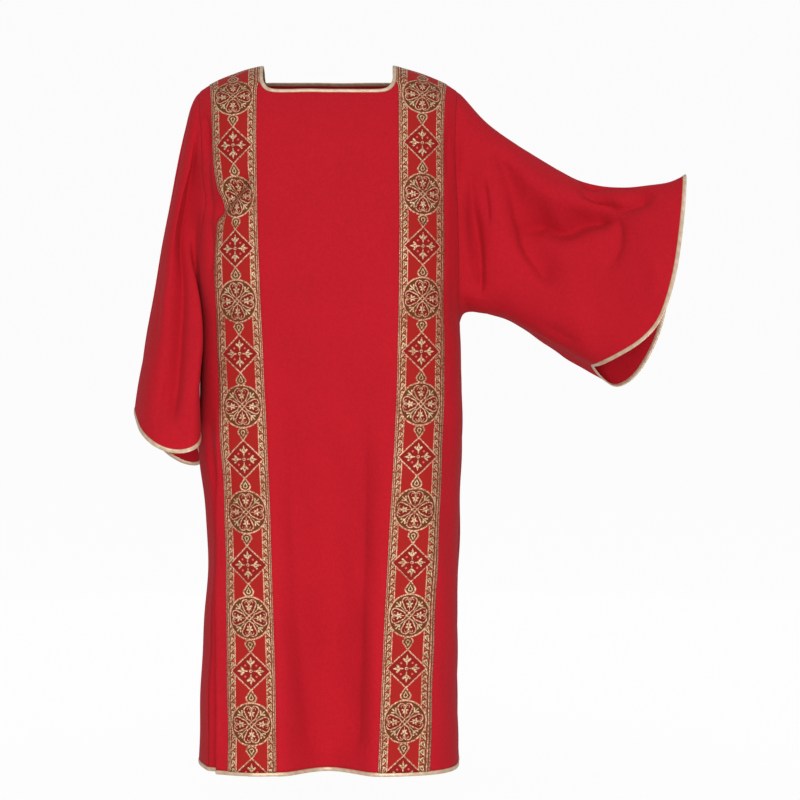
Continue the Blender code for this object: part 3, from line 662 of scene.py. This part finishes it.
def read(items, name, size):
    """One value or vector of each of a mesh's items."""
    values = np.empty(len(items) * size)
    items.foreach_get(name, values)
    return values.reshape(-1, size)


def smooth_and_crease(sheet):
    """The coarse sheet made smooth and fine, with its creases, waves and sunken seams."""
    cage = bpy.data.meshes.new("sheet")
    sheet.to_mesh(cage)
    holder = add_object("sheet", cage)
    finer = holder.modifiers.new("Finer", "SUBSURF")
    finer.levels = finer.render_levels = FINER
    finer.uv_smooth = "PRESERVE_BOUNDARIES"
    held = holder.evaluated_get(bpy.context.evaluated_depsgraph_get())
    mesh = bpy.data.meshes.new_from_object(held)
    bpy.data.objects.remove(holder)

    points = read(mesh.vertices, "co", 3)
    normals = read(mesh.vertex_normals, "vector", 3)
    facing = read(mesh.attributes["facing"].data, "value", 1)[:, 0]
    x, _, z = points.T

    shift = np.zeros(len(points))
    for face, creases in CREASES.items():
        seen = np.clip(face * facing * FACING_FADE, 0, 1)
        for crease in creases:
            shift += seen * crease_shift(crease, x, z)
    around = np.where(facing < 0, x, BACK_TURN - x)
    hang = LEAST_WAVE + (1 - LEAST_WAVE) * smooth_step((WAVES_START - z) / WAVES_GROW)
    for wave in WAVES:
        phase = 2 * pi * (wave.across * around + wave.down * z) + wave.turn
        shift += hang * wave.height * np.sin(phase)
    seam = seam_distances(mesh, points)
    shift += SEAM_DIP * np.exp(-(seam / SEAM_REACH) ** 2)
    points -= normals * shift[:, None]
    mesh.vertices.foreach_set("co", points.ravel())
    mark = mesh.attributes.new("seam", "FLOAT", "POINT")
    mark.data.foreach_set("value", seam)
    mesh.update()
    return mesh


def seam_distances(mesh, points):
    """How far each point of the sheet is from the nearest sewn seam, up to SEAM_LIMIT."""
    owners = [set() for _ in points]
    piece = np.empty(len(mesh.polygons), int)
    mesh.attributes["piece"].data.foreach_get("value", piece)
    for polygon in mesh.polygons:
        for vert in polygon.vertices:
            owners[vert].add(piece[polygon.index])
    sewn = [i for i, own in enumerate(owners) if len(own) > 1]
    tree = KDTree(len(sewn))
    for i in sewn:
        tree.insert(points[i], i)
    tree.balance()
    return np.array([min(SEAM_LIMIT, tree.find(point)[2]) for point in points])


def cut_piece(name, sheet_mesh, layer, value, lift, thickness, finish):
    """Takes one piece's faces from the sheet, lifts them off it and gives them their thickness."""
    cloth = bmesh.new()
    cloth.from_mesh(sheet_mesh)
    cloth.normal_update()
    for vert in cloth.verts:
        vert.co += vert.normal * lift
    label = cloth.faces.layers.int[layer]
    others = [face for face in cloth.faces if face[label] != value]
    bmesh.ops.delete(cloth, geom=others, context="FACES")
    made = finish_object(name, cloth, finish)
    wall = made.modifiers.new("Thickness", "SOLIDIFY")
    wall.thickness, wall.offset = thickness, 0.0
    wall.use_even_offset = False
    return made


def add_form(label, form, material):
    """Turns a bmesh into an object with smooth faces of one material."""
    mesh = bpy.data.meshes.new(label)
    form.to_mesh(mesh)
    form.free()
    mesh.shade_smooth()
    mesh.materials.append(material)
    return add_object(label, mesh)


def finish_object(name, form, finish):
    """Adds one dressed piece, which replaces the frame's node of that name."""
    made = add_form(f"{name}_{finish.name}", form, finish)
    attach(made, "root")
    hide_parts(name)
    return made


EDGE_REACH = 0.1          # the hem and the neck lie within this of the garment's ends


def walk(rim):
    """Takes one closed row of free edges from the rim: its vertices, from the lowest, then
    leftmost one."""
    first = min({vert for edge in rim for vert in edge.verts}, key=lambda v: (v.co.z, v.co.x))
    order = [first]
    while True:
        edge = next((edge for edge in order[-1].link_edges if edge in rim), None)
        if edge is None:
            return order[:-1]
        rim.remove(edge)
        order.append(edge.other_vert(order[-1]))


def free_rows(cloth):
    """The vertices along the sheet's free edges, as the neck, the hem and the two mouths."""
    rim = {edge for edge in cloth.edges if len(edge.link_faces) == 1}
    named = {}
    while rim:
        row = walk(rim)
        middle = sum((vert.co for vert in row), Vector()) / len(row)
        if middle.z < HEM + EDGE_REACH:
            named["binding_hem"] = row
        elif middle.z > -EDGE_REACH:
            named["binding_neck"] = row
        else:
            named["binding_cuff_right" if middle.x < 0 else "binding_cuff_left"] = row
    return named


# The binding's section: how far out from the cloth's edge, and how far off its middle surface,
# on one side and then mirrored on the other.
HALF_SECTION = [
    (-0.0008, 0.00062), (-0.0005, 0.00095), (0.0006, 0.00122), (0.0022, 0.00138),
    (0.0040, 0.00134), (0.0055, 0.00108), (0.0062, 0.00070), (0.0065, 0.00024),
]
BINDING_SECTION = HALF_SECTION + [(out, -off) for out, off in reversed(HALF_SECTION)]
PUCKERS = [(0.04, 0.023), (0.02, 0.0091)]  # how much thicker each makes it, and its length
SOFTENINGS = 4            # times that the binding's directions are evened out round the edge


def soften(arrows):
    """Directions round a closed ring, each turned halfway to its neighbours'."""
    count = len(arrows)
    return [(arrows[i - 1] + arrow * 2 + arrows[(i + 1) % count]).normalized()
            for i, arrow in enumerate(arrows)]


def make_binding(name, order, finish):
    """Folds a strip of satin over a free edge of the sheet, which is given by its vertices."""
    count = len(order)
    spots, outs, lifts = [], [], []
    for i, vert in enumerate(order):
        along = (order[(i + 1) % count].co - order[i - 1].co).normalized()
        lift = vert.normal - along * vert.normal.dot(along)
        lift.normalize()
        out = along.cross(lift)
        inside = sum((face.calc_center_median() for face in vert.link_faces), Vector())
        if out.dot(inside / len(vert.link_faces) - vert.co) > 0:
            out.negate()
        spots.append(vert.co.copy())
        outs.append(out)
        lifts.append(lift)
    for _ in range(SOFTENINGS):
        outs, lifts = soften(outs), soften(lifts)
    lengths = run_lengths(spots + spots[:1])
    section = BINDING_SECTION + BINDING_SECTION[:1]
    widths = run_lengths(section)[::-1]
    grid = []
    for i in [*range(count), 0]:
        turn = lengths[i] * 2 * pi
        pucker = 1 + sum(height * sin(turn / length) for height, length in PUCKERS)
        grid.append([spots[i] + outs[i] * out + lifts[i] * off * pucker
                     for out, off in reversed(section)])
    strip = bmesh.new()
    strip.loops.layers.uv.new("cut")
    add_grid(strip, grid, [[(length, width) for width in widths] for length in lengths])
    bmesh.ops.remove_doubles(strip, verts=strip.verts, dist=WELD)
    bmesh.ops.recalc_face_normals(strip, faces=strip.faces)
    return finish_object(name, strip, finish)


# ---------------------------------------------------------------- finishes
def fill(tree, node, values):
    """Gives a node's inputs their numbers, colours, or what other nodes put out."""
    for name, value in values.items():
        entry = node.inputs[name]
        if isinstance(value, (Value, bpy.types.NodeSocket)):
            tree.links.new(getattr(value, "socket", value), entry)
        else:
            entry.default_value = (*value, 1) if isinstance(value, tuple) else value


class Value:
    """One number of a finish, worked out at every point of the cloth by the node tree."""

    def __init__(self, tree, socket):
        self.tree, self.socket = tree, socket

    def through(self, operation, *others, clamp=False):
        node = self.tree.nodes.new("ShaderNodeMath")
        node.operation, node.use_clamp = operation, clamp
        fill(self.tree, node, dict(enumerate((self, *others))))
        return Value(self.tree, node.outputs[0])

    def __add__(self, other):
        return self.through("ADD", other)

    def __sub__(self, other):
        return self.through("SUBTRACT", other)

    def __mul__(self, other):
        return self.through("MULTIPLY", other)

    def size(self):
        return self.through("ABSOLUTE")

    def rest(self):
        """What this share leaves over."""
        return self * -1 + 1

    def least(self, *others):
        return reduce(lambda one, other: one.through("MINIMUM", other), others, self)

    def most(self, *others):
        return reduce(lambda one, other: one.through("MAXIMUM", other), others, self)

    def share(self, slope, start):
        """This times slope, plus start, kept between 0 and 1."""
        return self.through("MULTIPLY_ADD", slope, start, clamp=True)

    def wave(self, period):
        return (self * (2 * pi / period)).through("SINE")

    def line(self, level, half_width):
        """Distance to a line drawn where this distance is at a level."""
        return (self - level).size() - half_width

    def repeat(self, period, centre=0):
        """Distance along the nearest repeat, from minus to plus half a period."""
        return (self - centre).through("WRAP", period / 2, -period / 2)

    def shown(self, soft=0.4):
        """1 where this distance is below 0, and 0 where it is above, with a soft edge."""
        return self.share(-1 / soft, 0.5)


def far(u, v):
    return (u * u + v * v).through("SQRT")


def drop(u, v, first, second):
    """Distance to a drop between two round ends, each given as u, v and radius."""
    (u0, v0, r0), (u1, v1, r1) = first, second
    du, dv = u1 - u0, v1 - v0
    square = du * du + dv * dv
    t = ((u - u0) * (du / square) + (v - v0) * (dv / square)).through("ADD", 0, clamp=True)
    return far(u - u0 - t * du, v - v0 - t * dv) - (t * (r1 - r0) + r0)


def new_finish(name):
    material = bpy.data.materials.new(name)
    material.use_nodes = True
    tree = material.node_tree
    return material, tree, tree.nodes["Principled BSDF"]


def noise(tree, vector, scale, detail=2, roughness=0.5):
    node = tree.nodes.new("ShaderNodeTexNoise")
    fill(tree, node, {"Vector": vector, "Scale": scale, "Detail": detail, "Roughness": roughness})
    return Value(tree, node.outputs["Fac"])


def blend_colours(tree, share, under, over):
    """One colour laid over another by a share from 0 to 1."""
    node = tree.nodes.new("ShaderNodeMix")
    node.data_type = "RGBA"
    fill(tree, node, {"Factor": share, 6: under, 7: over})
    return node.outputs[2]


def add_bump(tree, shader, height, distance, strength):
    node = tree.nodes.new("ShaderNodeBump")
    fill(tree, node, {"Distance": distance, "Strength": strength, "Height": height})
    fill(tree, shader, {"Normal": node.outputs["Normal"]})


def cut_map(tree):
    """The piece's own map, in metres across and along the cloth."""
    node = tree.nodes.new("ShaderNodeUVMap")
    node.uv_map = "cut"
    apart = tree.nodes.new("ShaderNodeSeparateXYZ")
    fill(tree, apart, {0: node.outputs["UV"]})
    return node.outputs["UV"], Value(tree, apart.outputs[0]), Value(tree, apart.outputs[1])


def crepe_finish():
    """Matt red crepe: pebbled yarns, a faint mottle, and darker stitched seams."""
    material, tree, shader = new_finish("crepe")
    place = tree.nodes.new("ShaderNodeTexCoord").outputs["Object"]
    pebble = noise(tree, place, 620, 3, 0.6)
    mottle = noise(tree, place, 190, 2)
    cloud = noise(tree, place, 9, 2)
    shade = (pebble * 0.45 + mottle * 0.35 + cloud * 0.2).share(2.2, -0.6)
    colour = blend_colours(tree, shade, (0.385, 0.0058, 0.013), (0.535, 0.0095, 0.0205))
    mark = tree.nodes.new("ShaderNodeAttribute")
    mark.attribute_name = "seam"
    seam = Value(tree, mark.outputs["Fac"]) * MILLI
    line = (seam - 0.5).shown(0.9)
    colour = blend_colours(tree, line * 0.55, colour, (0.16, 0.004, 0.009))
    fill(tree, shader, {
        "Base Color": colour, "Roughness": 0.86, "Specular IOR Level": 0.16,
        "Sheen Weight": 0.06, "Sheen Roughness": 0.45, "Sheen Tint": (1, 0.3, 0.3),
    })
    _, across, along = cut_map(tree)
    ribs = across.wave(0.0011) * along.wave(0.0009)
    add_bump(tree, shader, pebble * 0.75 + ribs * 0.12 - line * 0.8, 0.0005, 0.55)
    return material


# Where the binding's two stitched inner edges run, along its map's width.
BINDING_SEAM = (0.0006, 0.0163)


def satin_finish():
    """Pale gold bias satin: smooth, softly puckered, sewn inner edges darkened by painted shade.
    """
    material, tree, shader = new_finish("satin")
    place, along, across = cut_map(tree)
    cloud = noise(tree, place, 75, 3)
    slant = along + across * 0.9
    pucker = (slant * (2 * pi / 0.019) + cloud * 9).through("SINE")
    yarn = slant.wave(0.0006)
    # the puckers lighten and darken the colour a little: painted shade over the cloud's random
    # tone
    shade = (cloud * 0.85 + pucker * 0.06).share(1.5, -0.3)
    colour = blend_colours(tree, shade, (0.56, 0.375, 0.24), (0.86, 0.68, 0.51))
    inner, other = (((across - seam).size() * MILLI - 0.4).shown(0.6) for seam in BINDING_SEAM)
    stitch_shade = inner.most(other)
    dash = (along.repeat(0.0026).size() * MILLI - 0.95).shown(0.3)
    # painted shade darkens the groove along the sewn inner edges; lighter stitches are drawn over
    # it
    colour = blend_colours(tree, stitch_shade * 0.6, colour, (0.23, 0.115, 0.05))
    colour = blend_colours(tree, stitch_shade * dash * 0.6, colour, (0.62, 0.43, 0.26))
    fill(tree, shader, {"Base Color": colour, "Metallic": 0.35, "Roughness": cloud * 0.16 + 0.27})
    add_bump(tree, shader, pucker * 0.25 + yarn * 0.04 + stitch_shade * (dash - 1) * 0.8, 0.0005, 0.5)
    return material


# The galloon's pattern, in millimetres: across from its middle, along from a medallion's middle.
REPEAT = 190.3
FIRST_MEDALLION = 86.5    # from the front hem to the lowest medallion's middle
RING = 39.6               # the medallion's radius
FIELD = 28                # half width of the plain field between the borders
DIAMOND = (38.4, 36)
SCROLL = REPEAT / 13      # one leaf of the border to the next
PETAL_WAIST = (13, 2.5, 6.2)
FLOWER = 19.6             # from the medallion's middle to a petal's flower
DIAGONAL = 0.7071         # cosine of 45 degrees


def petal_parts(u, w):
    """A medallion's lines and its flowers: four heart-shaped petals, with sprigs between."""
    a, b = u.size(), w.size()
    p, q = a.most(b), a.least(b)
    centre = far(a, b)
    heart = drop(p, q, (4, 0, 0.9), PETAL_WAIST)
    heart = heart.least(drop(p, q, PETAL_WAIST, (25.6, 6.4, 8)))
    curl = far(p - 27, q - 4.9).line(2.6, 0.55).most(p * -1 + 25.6)
    lines = centre.line(RING - 1.4, 1.4).least(heart.line(-1, 1.05), curl, centre.line(3.1, 0.85))
    lean = q.through("ARCTAN2", p - FLOWER)
    leaf = far(p - FLOWER, q) - ((lean * 5).through("COSINE") * 1.8 + 4.9)
    vein = (q - 0.4).most(p.line(19.2, 3.4))
    stalk = drop(p, q, (9, 0, 0.4), (15.2, 0, 0.9))
    s, t = (a + b) * DIAGONAL, (a - b).size() * DIAGONAL
    flowers = leaf.most(vein * -1).least(
        stalk, drop(s, t, (24, 0, 1), (32.8, 0, 1.2)),
        drop(s, t, (24.5, 1, 0.9), (29, 5, 1.5)),
        drop(s, t, (12.5, 0, 0.4), (24, 0, 0.7)),
    )
    return centre - RING, lines, flowers, heart + 0.9


def cross_parts(u, w):
    """A diamond's outline, its cross of four flowers, and its four dots."""
    a, b = u.size(), w.size()
    p, q = a.most(b), a.least(b)
    scale = 1 / sqrt(1 / DIAMOND[0] ** 2 + 1 / DIAMOND[1] ** 2)
    edge = (a * (1 / DIAMOND[0]) + b * (1 / DIAMOND[1]) - 1) * scale
    head = drop(p, q, (15, 0, 3.4), (25, 0, 0.3))
    side = drop(p, q, (13.4, 1.8, 1.7), (17.2, 6, 1.7))
    stem = drop(p, q, (5.6, 0, 0.5), (12.5, 0, 1.9))
    heart = drop(p, q, (14.4, 0, 0.9), (18.6, 0, 0.3)) * -1
    cross = head.least(side).most(heart).least(stem, far(a, b).line(2.2, 0.8))
    return edge, edge.line(-1.2, 1.25), cross, far(a - 10.3, b - 9.9) - 1.9


def drop_parts(u, w):
    """The drop between a medallion and a diamond: its shape, its outline and its seed."""
    shape = drop(u, w, (0, 48, 10.8), (0, 62.4, 0.8))
    seed = drop(u, w, (0, 47.2, 4.4), (0, 54.4, 0.5))
    return shape, shape.line(-1.5, 1.5), seed.line(-0.9, 0.95)


def border_parts(u, v):
    """A border's lines, its scroll of leaves, and the berries between them."""
    a = u.size()
    edging = far(a - 46.6, v.repeat(2.5)) - 1.3
    lines = a.line(FIELD + 1.2, 1.15).least(a.line(42.4, 1.15), edging)
    e, g = a - 35.6, v.repeat(SCROLL)
    leaf = drop(e, g, (-1.4, 2.8, 3.7), (1.9, -3.4, 1.5))
    slit = drop(e, g, (-1.3, 2.6, 1.5), (0.6, -1.6, 0.3)) * -1
    kernel = far(e + 1.4, g - 2.8) - 0.7
    tail = drop(e, g, (1.7, -3.2, 1.1), (3.9, -6.6, 0.3))
    stalk = drop(e, g, (2.6, 5.6, 0.45), (-1.4, 7.6, 0.45))
    scroll = leaf.most(slit).least(kernel, tail, stalk)
    return a - FIELD, lines, scroll, far(e + 3, g + 4.6) - 1.2


def galloon_finish():
    """The woven band: gold thread on a red satin field, with medallions, drops and diamonds."""
    material, tree, shader = new_finish("lame")
    place, across, along = cut_map(tree)
    u, v = across * MILLI, along * MILLI
    w = v.repeat(REPEAT, FIRST_MEDALLION)
    near = w.size()
    medallion, petal_lines, flowers, petals = petal_parts(u, w)
    diamond, diamond_line, cross, dots = cross_parts(u, near * -1 + REPEAT / 2)
    link, link_line, seed = drop_parts(u, near)
    beside, border_lines, scroll, berries = border_parts(u, v)

    in_medallion = medallion.shown()
    in_diamond = diamond.shown()
    in_link = link.shown() * in_medallion.rest()
    outside = in_medallion.most(in_diamond, in_link).rest()
    in_border = beside.shown().rest() * outside
    lines = (border_lines.shown() * outside).most(
        petal_lines.shown() * in_medallion, diamond_line.shown() * in_diamond,
        link_line.shown() * in_link,
    )
    motifs = (scroll.shown() * in_border).most(
        flowers.shown() * in_medallion, cross.shown() * in_diamond, seed.shown() * in_link,
    )
    gold = lines.most(motifs)
    pink = (dots.shown() * in_diamond).most(berries.shown() * in_border)
    brown = (in_medallion * petals.shown().rest()).most(in_link)

    thread = noise(tree, place, 700, 2, 0.75)
    fleck = noise(tree, place, 300, 1, 0.6)
    cloud = noise(tree, place, 24, 2)
    # painted glints: bright pale flecks laid into the gold thread's colour, over its random tone
    glint = (thread + fleck * 1.1 + cloud * 0.4).share(3.2, -3.45)
    layers = [
        (in_border,
         blend_colours(tree, fleck.share(3, -1), (0.215, 0.015, 0.008), (0.17, 0.04, 0.012))),
        (in_diamond, (0.27, 0.008, 0.007)),
        (in_medallion, (0.2, 0.011, 0.007)),
        (brown, (0.165, 0.039, 0.012)),
        (lines, blend_colours(tree, glint, (0.36, 0.1, 0.045), (1, 0.64, 0.42))),
        (motifs, blend_colours(tree, glint, (0.42, 0.18, 0.07), (1, 0.78, 0.5))),
        (pink, (0.76, 0.13, 0.1)),
    ]
    colour = blend_colours(tree, thread, (0.3, 0.008, 0.007), (0.47, 0.015, 0.012))
    for share, over in layers:
        colour = blend_colours(tree, share, colour, over)
    fill(tree, shader, {
        "Base Color": colour, "Metallic": (gold * 0.85 + brown * 0.25).least(0.85),
        "Roughness": gold * -0.16 + thread * 0.1 + 0.48, "Specular IOR Level": 0.15,
    })
    weave = v.wave(0.55) * 0.1 + u.wave(0.8) * 0.08
    add_bump(tree, shader, gold * 0.55 + thread * 0.4 + weave, 0.0006, 0.7)
    return material


crepe, galloon, satin = crepe_finish(), galloon_finish(), satin_finish()

# ---------------------------------------------------------------- the garment
sheet = lay_sheet()
fine = smooth_and_crease(sheet)
sheet.free()

for index, name in enumerate(PIECES):
    cut_piece(name, fine, "piece", index, 0.0, CLOTH, crepe)
for index, name in enumerate(BAND_NAMES):
    lift = CLOTH / 2 + BAND_GAP + GALLOON / 2
    cut_piece(name, fine, "band", index + 1, lift, GALLOON, galloon)
edged = bmesh.new()
edged.from_mesh(fine)
edged.normal_update()
for name, row in free_rows(edged).items():
    make_binding(name, row, satin)
edged.free()
bpy.data.meshes.remove(fine)

# ---------------------------------------------------------------- the cut of the cloth
Cut = namedtuple("Cut", "piece width length area held rests_on")
CUTS = list_of(
    Cut,
    ("front", 0.66, 1.33, 0.73, "hung", ["back", "sleeve_right", "sleeve_left"]),
    ("back", 0.76, 1.35, 0.84, "hung", ["front", "sleeve_right", "sleeve_left"]),
    ("sleeve_right", 0.80, 0.58, 0.22, "hung", ["front", "back"]),
    ("sleeve_left", 1.00, 0.56, 0.33, "draped", ["front", "back"]),
    ("clavus_right", 0.096, 2.645, None, "hung", ["front", "back"]),
    ("clavus_left", 0.096, 2.645, None, "hung", ["front", "back"]),
    ("binding_neck", 0.0105, 0.82, None, "folded", ["front", "back"]),
    ("binding_hem", 0.0105, 1.40, None, "folded", ["front", "back"]),
    ("binding_cuff_right", 0.0105, 0.80, None, "folded", ["sleeve_right"]),
    ("binding_cuff_left", 0.0105, 1.00, None, "folded", ["sleeve_left"]),
)

# ---------------------------------------------------------------- studio
FLOOR = -1.48             # the wearer would stand here


def make_backdrop():
    """A pale floor that curves up into a round wall."""
    bowl = bmesh.new()
    turns = [radians(a) for a in range(0, 91, 10)]
    profile = [(0.0, FLOOR), (2.5, FLOOR)]
    profile += [(5.0 + 1.5 * sin(a), FLOOR + 1.5 - 1.5 * cos(a)) for a in turns]
    profile.append((6.5, FLOOR + 5.5))
    verts = [bowl.verts.new((out, 0.0, up)) for out, up in profile]
    edges = [bowl.edges.new(pair) for pair in zip(verts, verts[1:])]
    bmesh.ops.spin(bowl, geom=verts + edges, cent=(0, 0, FLOOR), axis=(0, 0, 1), angle=2 * pi,
                   steps=72, use_merge=True)
    bmesh.ops.remove_doubles(bowl, verts=bowl.verts, dist=WELD)
    bmesh.ops.recalc_face_normals(bowl, faces=bowl.faces)
    material, tree, shader = new_finish("studio_paper")
    fill(tree, shader, {
        "Base Color": (0.05, 0.05, 0.05), "Roughness": 0.9,
        "Emission Color": (1.0, 1.0, 1.0), "Emission Strength": 0.92,
    })
    made = add_form("backdrop", bowl, material)
    made.visible_diffuse = made.visible_glossy = made.visible_shadow = False


def add_light(name, place, target, width, height, power, glossy):
    light = bpy.data.lights.new(name, "AREA")
    light.shape, light.size, light.size_y, light.energy = "RECTANGLE", width, height, power
    made = add_object(name, light)
    made.location = place
    made.rotation_euler = (Vector(target) - Vector(place)).to_track_quat("-Z", "Y").to_euler()
    made.visible_camera, made.visible_glossy = False, glossy


def add_sun(name, bearing, height, spread, strength):
    """A broad far light, its bearing and height in degrees as seen from the garment's front."""
    light = bpy.data.lights.new(name, "SUN")
    light.angle, light.energy = radians(spread), strength
    made = add_object(name, light)
    made.rotation_euler = (radians(90 - height), 0.0, radians(bearing))


make_backdrop()
add_light("softbox", (0.134, -4.6, -0.75), (0.134, 0.0, -0.70), 1.5, 1.5, 54, False)
add_light("low_strip", (0.25, -2.6, -1.42), (0.0, 0.0, -1.1), 1.8, 0.25, 20, True)
add_sun("skylight", 0, 45, 30, 0.75)

scene = bpy.context.scene
scene.world = bpy.data.worlds.new("studio_air")
scene.world.use_nodes = True
air = scene.world.node_tree
fill(air, air.nodes["Background"], {"Color": (1.0, 1.0, 1.0), "Strength": 0.50})
scene.view_settings.view_transform = "Standard"

lens = bpy.data.cameras.new("camera")
lens.lens, lens.sensor_width = 90.0, 36.0
camera = add_object("camera", lens)
camera.location = (0.134, -3.73, -0.623)
camera.rotation_euler = (radians(90), 0.0, 0.0)
scene.camera = camera
